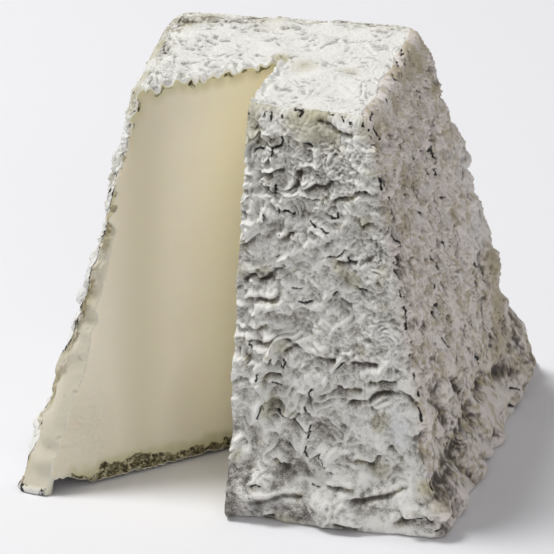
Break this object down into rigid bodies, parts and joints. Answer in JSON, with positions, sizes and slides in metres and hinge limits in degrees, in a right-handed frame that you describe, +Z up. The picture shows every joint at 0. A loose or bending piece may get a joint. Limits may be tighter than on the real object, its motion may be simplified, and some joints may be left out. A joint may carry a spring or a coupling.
{
  "type": "ash-coated goat cheese pyramid",
  "caption": "Truncated pyramid of soft goat cheese with a wrinkled white and grey ash rind, with one slim wedge cut out down to its base.",
  "frame": {"origin": "middle of the cheese's outline at the height of its base", "axes": "+Z up, -Y towards the front, the side with the cut, +X to the right of it"},
  "size_m": [0.078, 0.0758, 0.0698],
  "materials": {
    "cheese": "matte mould rind over ash, cut faces of smooth ivory paste"
  },
  "bodies": {
    "root": {"cheese": "cheese"}
  },
  "joints": []
}
